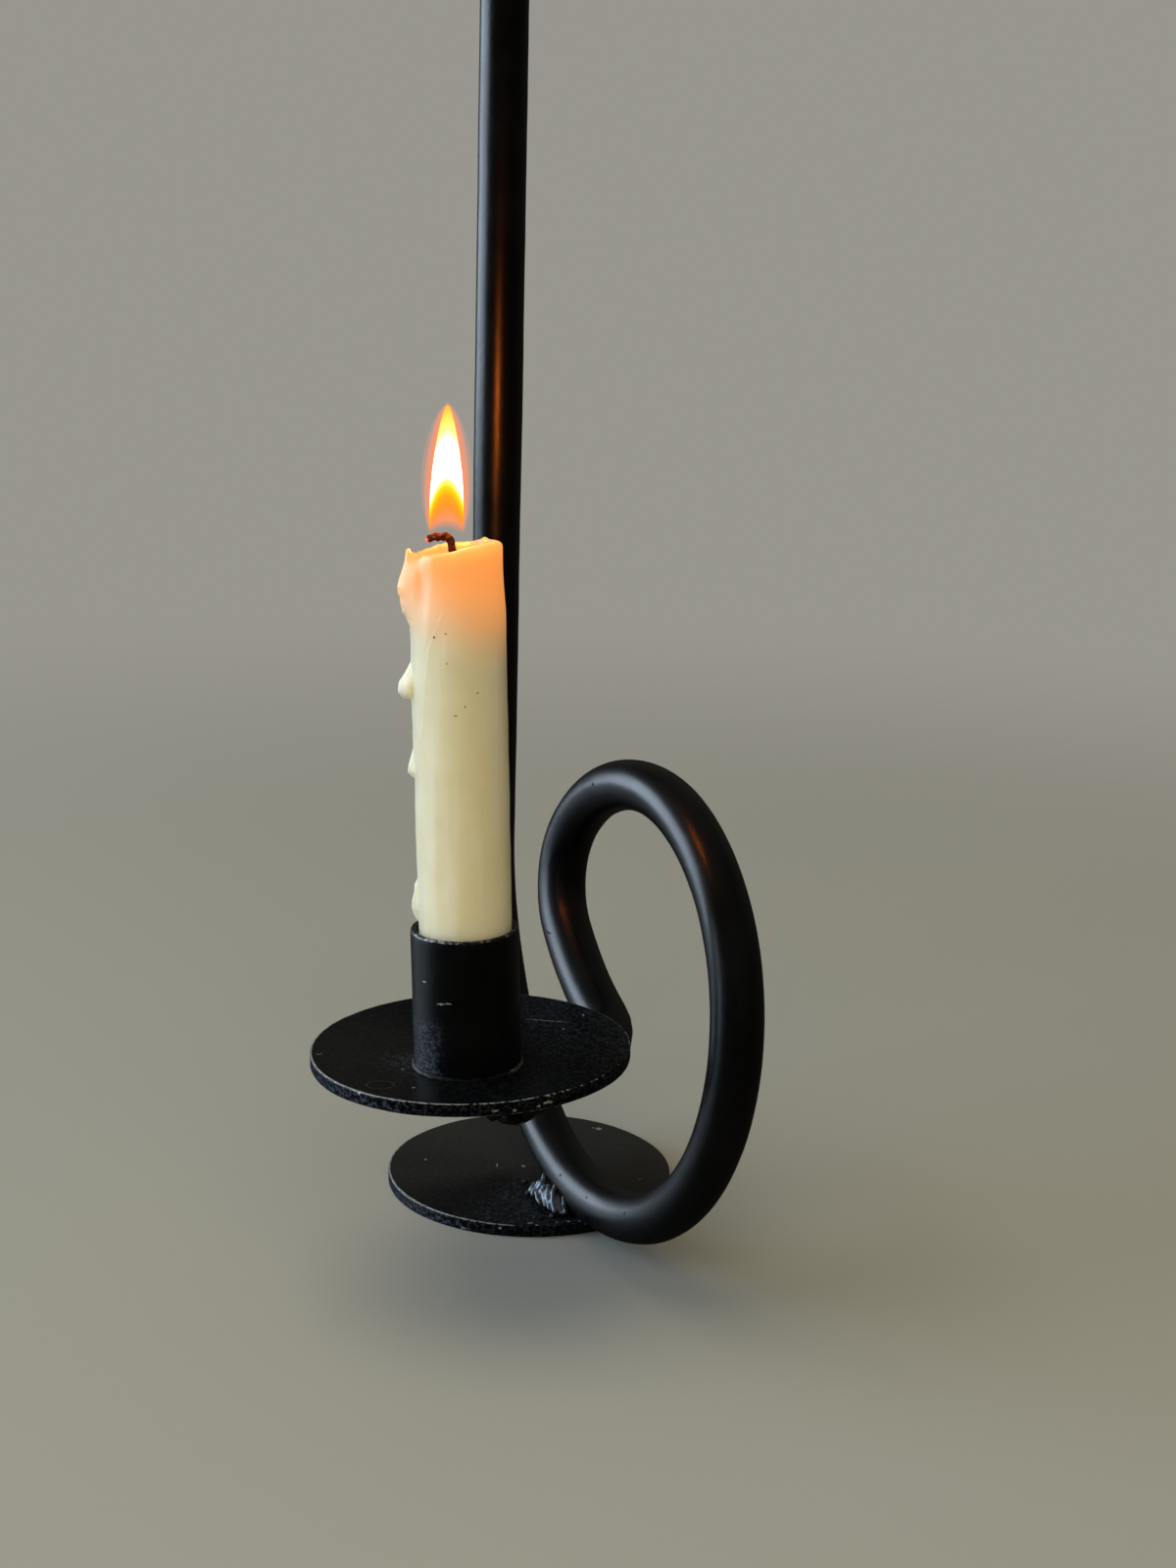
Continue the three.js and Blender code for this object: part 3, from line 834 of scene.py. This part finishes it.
def base_scuffs(angle, radius, height):
    """Burnt and gritty paint lies round the weld, towards the front."""
    if radius > DISC_RADIUS - 0.05 or height < 1:
        return rim_scuffs(angle, radius, height)
    return 0.1 + 0.3 * facing(angle, 277, 0.75, 0.98) * smooth_share(radius, 4, 16)


def base_dust_and_sheen(angle, radius):
    """Dust greys the base, and a painted sheen adds grey towards the back. Both are kept off the
    front round the weld, which stays dark from burnt paint and from painted shade.
    """
    # burnt paint and painted shade: no grey at the front round the weld
    burnt = facing(angle, 268, 0.2, 0.85) * smooth_share(radius, 2, 12)
    # painted sheen: more grey towards the back
    back = facing(angle, 80, -0.2, 0.9)
    return (0.24 + 0.16 * back) * (1 - burnt)


def dish_scuffs(angle, radius, height):
    """The dish is handled and dusty on its right, and scraped round the cup's foot."""
    if radius > DISC_RADIUS - 0.05 or height < 1:
        return rim_scuffs(angle, radius, height)
    right = facing(angle, 25, 0.3, 0.9) * smooth_share(radius, 12, 24)
    foot = facing(angle, 225, 0.8, 1) * smooth_share(radius, 26, 19)
    return 0.06 + max(0.17 * right, 0.4 * foot)


make_disc(
    "base_disc_plate", "base_disc", BASE,
    # partly wear, partly a painted highlight: the top edge is most bare from the left round to the front
    lambda angle, upper: along_table(
        ((150, 0.42), (190, 0.66), (262, 0.62), (272, 0.3), (360, 0.3)), angle) if upper else 0.36,
    base_scuffs, base_dust_and_sheen, shine=0.2,
    chips=(
        ((18.8, 27.9, 3.2), (0.9, 1.0, 0.3), 30),
        ((17.2, 28.6, 3.2), (0.4, 0.4, 0.3), 0),
        ((30.0, -6.4, 3.2), (0.35, 0.35, 0.3), 0),
        ((-28.5, 3.2, 3.2), (0.3, 0.6, 0.3), 0),
        ((-8.8, 0.3, 3.2), (0.18, 1.6, 0.3), 0),
        ((-1.6, 0.2, 3.2), (0.5, 0.9, 0.3), 20),
        ((1.3, -36.2, 3.2), (0.9, 0.35, 0.3), 20),
        ((3.1, -37.3, 3.2), (0.5, 0.3, 0.3), 0),
        ((-6.4, -37.6, 2.2), (0.5, 0.5, 0.4), 0),
        ((13.9, -34.3, 3.2), (0.4, 0.4, 0.3), 0),
        ((15.4, -34.8, 2.7), (0.4, 0.4, 0.3), 0),
        ((11.1, -34.5, 3.2), (0.6, 0.35, 0.3), 0),
        ((8.1, -35.2, 3.2), (0.4, 0.3, 0.3), 0),
        ((-16.0, -34.6, 0.6), (0.7, 0.7, 0.3), 0),
    ))
make_disc(
    "lower_dish_plate", "lower_dish", LOWER_DISH,
    # partly wear, partly painted highlights: top edge most bare left and front, lower edge at the front
    lambda angle, upper: along_table(
        ((150, 0.5), (190, 0.66), (240, 0.64), (290, 0.56), (330, 0.42)), angle) if upper else along_table(
        ((250, 0.3), (275, 0.6), (302, 0.6), (325, 0.36)), angle),
    # painted reflection: the dish's top is greyed on its left, for the backdrop the paint mirrors
    dish_scuffs, lambda angle, radius: 0.1 * facing(angle, 195, 0.2, 1), shine=0.06,
    chips=(
        ((-11.4, -27.6, 3.2), (0.45, 0.35, 0.3), 0),
        ((-14.9, -15.8, 3.2), (0.3, 0.35, 0.3), 0),
        ((-35.6, -5.6, 3.2), (0.8, 0.15, 0.3), 0),
        ((18.0, 16.5, 3.2), (6.0, 0.13, 0.3), -14),
        ((22.0, 10.7, 3.2), (0.3, 0.35, 0.3), 0),
        ((26.7, 20.5, 3.2), (0.25, 0.8, 0.3), 0),
        ((19.2, -32.9, 1.5), (1.3, 0.6, 0.35), 30),
        ((17.2, -34.0, 1.0), (0.5, 0.4, 0.3), 30),
        ((7.4, -37.3, 1.3), (1.0, 0.4, 0.2), 10),
        ((11.8, -36.2, 0.9), (0.5, 0.3, 0.35), 15),
        ((19.4, -32.8, 3.2), (0.5, 0.35, 0.5), 30),
        ((-23.6, -29.8, 3.0), (0.6, 0.5, 0.7), 40),
    ),
    stains=(((-19.2, -25.6, 3.2), (3.4, 2.6, 0.8), 0),))
make_disc(
    "upper_dish_plate", "upper_dish", UPPER_DISH, lambda angle, upper: 0.55 if upper else 0.4, rim_scuffs,
    lambda angle, radius: 0.1, shine=0.2)
make_cup("lower_candle_cup", "lower_cup", LOWER_CUP, chips=(
    ((-9.0, -8.7, 22.5), (0.75, 0.5, 0.24), -46),
    ((-5.2, -11.3, 18.0), (1.2, 0.5, 0.22), -25),
    ((-3.4, -12.0, 18.3), (0.9, 0.5, 0.17), -17),
), scuffs=200)
make_cup("upper_candle_cup", "upper_cup", UPPER_CUP, chips=(), scuffs=120)
make_cup_seam("lower_cup_brazing", "lower_cup_seam", LOWER_CUP)
make_cup_seam("upper_cup_brazing", "upper_cup_seam", UPPER_CUP)
make_base_weld()
make_tail_weld()
make_stem_weld()


# Candle, wick and flame

RIM_HEIGHTS = (
    # angle round the candle from its right side, and the rim's height there
    (0, 0.9), (18, 0.5), (28, 0.9), (43, 0.6), (51, 1.3), (58, 0.5), (72, 0), (107, -0.2),
    (135, -1.1), (160, -1.5), (180, -1.7), (195, -1.7), (230, -0.9), (259, -0.1), (273, 0.4),
    (286, 1.0), (315, 1.7), (345, 1.6), (360, 0.9),
)
OVERFLOW_EDGE = (
    # height on the candle, and the angle where the sheet of overflowed wax ends
    (70, 200), (75.9, 211), (81.7, 224), (90.5, 230), (98.7, 237), (106.1, 254), (112, 265),
)
DRIPS = (
    # runs of wax down the candle's left side: sideways place, height and radius
    ((-10.6, 120.4, 0.3), (-10.55, 119.7, 0.52), (-10.45, 118.8, 0.75), (-10.3, 117.4, 1.1),
     (-10.7, 115.6, 1.35), (-11.1, 113.8, 1.6), (-11.55, 112.2, 1.6), (-11.75, 111.2, 1.4),
     (-11.3, 110.2, 1.3), (-11.2, 109.0, 1.5), (-11.0, 107.6, 1.4), (-10.6, 106.4, 1.1), (-10.3, 104.6, 0.9)),
    ((-12.3, 106.5, 0.25), (-11.4, 106.7, 0.5)),
    ((-10.3, 94.6, 0.7), (-10.9, 93.0, 0.9), (-11.5, 91.6, 1.1), (-12.2, 90.2, 1.3), (-12.4, 88.9, 1.25)),
    ((-12.4, 88.9, 1.2), (-12.3, 87.6, 0.65), (-11.3, 88.4, 0.8), (-10.6, 87.6, 0.8)),
    ((-10.3, 75.0, 0.5), (-10.7, 73.2, 0.75), (-11.2, 71.4, 0.85), (-11.45, 70.1, 0.85), (-10.9, 69.2, 0.6)),
    ((-10.3, 44.6, 0.5), (-10.8, 43.2, 0.7), (-10.9, 42.2, 0.7)),
    ((-11.0, 41.4, 0.65), (-11.4, 39.6, 0.8), (-11.5, 38.0, 0.82), (-11.2, 36.4, 0.7), (-10.7, 35.2, 0.5)),
)

OVERFLOW = (
    # runs that fill out the top of the overflow: place and radius
    ((-8.0, -4.0, 118, 0.9), (-8.4, -4.5, 114, 1.4), (-8.6, -4.6, 109, 1.5), (-8.8, -4.6, 104, 1.1)),
    ((-9.8, -3.0, 117, 0.9), (-10.0, -3.4, 113, 1.4), (-9.9, -3.6, 108, 1.4), (-9.7, -3.4, 103, 1.0)),
)


def make_candle():
    """The part-burnt candle, with its pool, its uneven rim and the wax run down its left."""
    rim = CANDLE_RADIUS
    top = RIM_LEVEL
    bm = turned((
        (0, 0), (rim, 0), (rim, top - 14), (rim, top - 0.9), (rim - 0.25, top - 0.25), (rim - 0.7, top),
        (rim - 1.1, top - 0.25), (rim - 1.5, top - 1.0), (rim - 2.2, POOL_LEVEL + 0.3),
        (rim - 3, POOL_LEVEL), (0, POOL_LEVEL),
    ), steps=96, spacing=1.4)
    # the burnt rim is uneven and drawn in, most on the left
    for vert in bm.verts:
        angle, radius = angle_and_radius(vert.co)
        if radius > 6 and vert.co.z > top - 16:
            vert.co.z += along_table(RIM_HEIGHTS, angle) * smooth_share(vert.co.z, top - 8, top - 1)
            inward = (1.0 - 0.5 * math.cos(math.radians(angle))) * smooth_share(vert.co.z, top - 16, top - 4)
            vert.co.xy *= 1 - inward / rim
    for drip in DRIPS:
        # each run has a broader one behind it, which joins it to the candle
        chain(bm, [(sideways, -1.2, height, radius) for sideways, height, radius in drip], (1, 1.35, 1))
        behind = [(sideways + 1.1, -1.5, height, radius) for sideways, height, radius in drip if height < 119]
        chain(bm, behind, (1.1, 2.0, 1.05))
    for run in OVERFLOW:
        chain(bm, run)
    bm = fused(bm, voxel=0.33, rounds=3)
    # the overflow blends smoothly into the front
    smooth_out(bm, [
        vert for vert in bm.verts if vert.co.x < -3 and vert.co.y < -2.6 and 96 < vert.co.z < 119.5
    ], rounds=50)

    def skin(co):
        """The sheet of overflowed wax, with a ridge along its edge, and fine lengthways runs."""
        angle, radius = angle_and_radius(co)
        if radius < 7.5:
            return 0
        inside = (along_table(OVERFLOW_EDGE, co.z) - angle) * math.radians(CANDLE_RADIUS)
        if angle < 120 or co.z < 70:
            inside = -1
        ridge = 0.16 * math.exp(-((inside - 0.4) / 0.35) ** 2) * smooth_share(co.z, 110, 106)
        sheet = 0.16 * smooth_share(inside, 0, 2.5) + ridge
        stretched = Vector((co.x, co.y, co.z / 10))
        left = 0.4 + 0.6 * smooth_share(-co.x, -2, 6)
        runs = left * wobble(stretched, 2.2, 0.16, 4)
        return sheet * smooth_share(co.z, 72, 80) + runs + wobble(co, 6, 0.1, 1)

    push(bm, skin)
    wax = candle_wax("ivory_candle_wax", CANDLE_FOOT)
    piece("dinner_candle", bm, wax, "candle", "candle", CANDLE_FOOT, sharp=70)


def make_wick():
    """A braided wick, charred to lumps and curled over to the left, with a glowing tip."""
    start = Vector((-0.8, 0, 1))
    rod = Rod(start, UP, Vector((-1, 0, 0)), radius=0.76, sides=18, step=30)
    rod.straight(POOL_LEVEL - 2)
    # only what stands out of the pool is finely cut
    rod.step = 0.22
    rod.straight(1.6)
    rod.bend(5, 8)
    rod.straight(3.3)
    rod.bend(0.95, 84)
    rod.straight(1.5)
    rod.bend(7, 16)
    rod.straight(0.9)
    tip = rod.place.copy()
    bm = rod.close(rounding=0.3)

    def strands(co):
        charred = smooth_share(co.z, POOL_LEVEL - 1, POOL_LEVEL + 1)
        angle = math.atan2(co.y, co.x + 0.8) if co.z < 121.5 else math.atan2(co.y, co.z - 122.5)
        twist = 0.1 * math.cos(3 * angle + (co.z - co.x) * 2.4)
        return twist + charred * (0.1 + wobble(co, 0.7, 0.34, 3))

    push(bm, strands)
    store(bm, "ember", lambda co: 2.2 * smooth_share((co - tip).length, 1.1, 0.4))
    char = charred_wick("charred_cotton")
    piece("charred_wick", bm, char, "candle", "wick", CANDLE_FOOT, sharp=60)


FLAME_WIDTHS = (
    # height above the flame's foot, the bright core's half width, and the skins' share of
    # their greatest thickness
    (0, 3.7, 0.1), (2.2, 3.8, 0.25), (3.9, 3.8, 0.4), (6.8, 3.75, 0.65), (10.1, 3.6, 0.85), (14.4, 3.25, 1),
    (18.8, 2.7, 1), (22.1, 2.15, 0.9), (25.0, 1.55, 0.72), (27.2, 0.92, 0.5), (28.4, 0.48, 0.3),
)


def make_flame():
    """The flame: a bright core inside three thin skins, each fainter than the last."""
    foot = Matrix.Translation(CANDLE_FOOT @ Vector((-2.2, 0, 123)))
    skins = (
        # name, thickness over the core, height and material
        ("flame_core", 0, 28.9, burning_core("burning_vapour", foot)),
        ("flame_inner_skin", 0.8, 29.1, burning_skin("inner_flame_skin", foot, 0.19, "#ff7c0a", 1.25)),
        ("flame_middle_skin", 1.55, 29.3, burning_skin("middle_flame_skin", foot, 0.08, "#ff751e", 2.25)),
        ("flame_outer_skin", 2.4, 29.6, burning_skin("outer_flame_skin", foot, 0.034, "#ff8654", 2.3)),
    )
    for name, wider, length, material in skins:
        profile = [(0, 0)]
        profile += [(width + wider * share, height) for height, width, share in FLAME_WIDTHS]
        bm = turned(profile + [(0, length)], steps=72, spacing=0.5)
        flame = piece(name, bm, material, "candle", place=foot, sharp=180)
        flame.visible_shadow = False
        flame.visible_diffuse = False
        flame.visible_glossy = False


make_candle()
make_wick()
make_flame()


# Floor and light

def around(azimuth, elevation, distance, centre=(0, 0, 0.15)):
    """A place seen from the object at those degrees round from the camera, towards its left."""
    turn, rise = math.radians(azimuth), math.radians(elevation)
    level = Vector((-math.sin(turn), -math.cos(turn), 0)) * math.cos(rise)
    return Vector(centre) + distance * (level + UP * math.sin(rise))


def make_floor():
    """A pale matt studio floor, which fades into the backdrop."""
    bm = bmesh.new()
    bmesh.ops.create_circle(bm, cap_ends=True, segments=96, radius=0.95)
    floor = add_object("floor", bm)
    material, tree, local = start_material("pale_studio_floor", Matrix())
    # the paint reflects a darker floor, as it does in a dim room
    mirrored = node(tree, "LightPath", out="Is Glossy Ray")
    shade = node(tree, "Mix", {0: mirrored, 6: colour("#959792"), 7: colour("#2b2a26")}, 2, data_type="RGBA")
    board = node(tree, "BsdfPrincipled", {
        "Base Color": shade, "Roughness": 0.45, "Specular IOR Level": 0.5,
    })
    away = node(tree, "VectorMath", {0: local}, "Value", operation="LENGTH")
    gone = node(tree, "MapRange", {
        "Value": away, "From Min": 260.0, "From Max": 900.0,
    }, interpolation_type="SMOOTHSTEP")
    surface = node(tree, "MixShader", {0: gone, 1: board, 2: node(tree, "BsdfTransparent")})
    node(tree, "OutputMaterial", {"Surface": surface})
    floor.data.materials.append(material)


def add_light(kind, name, place, aim, power, shade, works_on, **settings):
    """A light of some watts, aimed at a point. It works on diffuse or on glossy light only."""
    data = bpy.data.lights.new(name, kind)
    data.energy = power
    data.color = colour(shade)[:3]
    for setting, value in settings.items():
        setattr(data, setting, value)
    light = add_object(name, data)
    light.rotation_euler = (Vector(aim) - Vector(place)).to_track_quat("-Z", "Y").to_euler()
    light.location = place
    light.visible_diffuse = works_on == "diffuse"
    light.visible_glossy = works_on == "glossy"


def set_world():
    """A pale even backdrop for the camera. The object is lit by a dim room, brighter above
    and darkest towards the camera, and its paint mirrors a darker ceiling."""
    world = bpy.data.worlds.new("studio")
    bpy.context.scene.world = world
    world.use_nodes = True
    tree = world.node_tree
    tree.nodes.clear()
    direction = node(tree, "TexCoord", out="Generated")
    height = node(tree, "SeparateXYZ", {0: direction}, "Z")
    rising = node(tree, "MapRange", {"Value": height, "From Min": -1.0, "From Max": 1.0})
    room = node(tree, "ValToRGB", {0: rising}, stops=(
        (0.0, (0.04, 0.04, 0.033, 1)), (0.5, (0.03, 0.03, 0.025, 1)), (0.61, (0.05, 0.049, 0.042, 1)),
        (0.70, (0.06, 0.059, 0.05, 1)), (0.85, (0.16, 0.157, 0.13, 1)), (1.0, (0.3, 0.295, 0.25, 1)),
    ))
    across = node(tree, "SeparateXYZ", {0: direction}, "Y")
    share = node(tree, "MapRange", {"Value": across, "From Min": -0.9, "From Max": 0.4, "To Min": 0.15})
    share = node(tree, "Math", {0: share, 1: rising}, operation="MAXIMUM")
    glossy = node(tree, "LightPath", out="Is Glossy Ray")
    dimming = node(tree, "MapRange", {"Value": height, "From Min": 0.35, "From Max": 0.7, "To Max": 0.75})
    dimming = node(tree, "Math", {0: dimming, 1: glossy}, operation="MULTIPLY")
    kept = node(tree, "Math", {0: 1.0, 1: dimming}, operation="SUBTRACT")
    share = node(tree, "Math", {0: share, 1: kept}, operation="MULTIPLY")
    seen = node(tree, "Background", {"Color": colour("#98968f")})
    fill = node(tree, "Background", {"Color": room, "Strength": share})
    for_camera = node(tree, "LightPath", out="Is Camera Ray")
    node(tree, "OutputWorld", {"Surface": node(tree, "MixShader", {0: for_camera, 1: fill, 2: seen})})


make_floor()
set_world()
# the window's mirror image in the paint, and its softer light on the wax and the floor
add_light(
    "AREA", "window_glint", around(104, 8, 2.2), (0, 0, 0.15), 44, "#d9ecff", "glossy",
    shape="RECTANGLE", size=2.3, size_y=1.1)
add_light(
    "AREA", "window_light", around(85, 20, 2.2), (0, 0, 0.15), 51, "#cde2ff", "diffuse",
    shape="RECTANGLE", size=1.9, size_y=1.3)
add_light(
    "AREA", "high_fill", around(75, 74, 2.2), (0, 0, 0), 32, "#ffedca", "diffuse",
    shape="RECTANGLE", size=1.8, size_y=1.8)
add_light(
    "AREA", "room_fill", around(-6, 30, 2.5), (0, 0, 0.15), 34, "#ffedca", "diffuse",
    shape="RECTANGLE", size=2.5, size_y=2)
# the flame shows only as glints in the paint
for name, height, power in (("flame_light", 131, 0.09), ("flame_top_light", 138.5, 0.1)):
    place = CANDLE_FOOT @ Vector((-1.9, 0, height)) * 0.001
    add_light("POINT", name, place, (0, 0, 0), power, "#ff8028", "glossy", shadow_soft_size=0.004)
bpy.context.scene.view_settings.view_transform = "Standard"
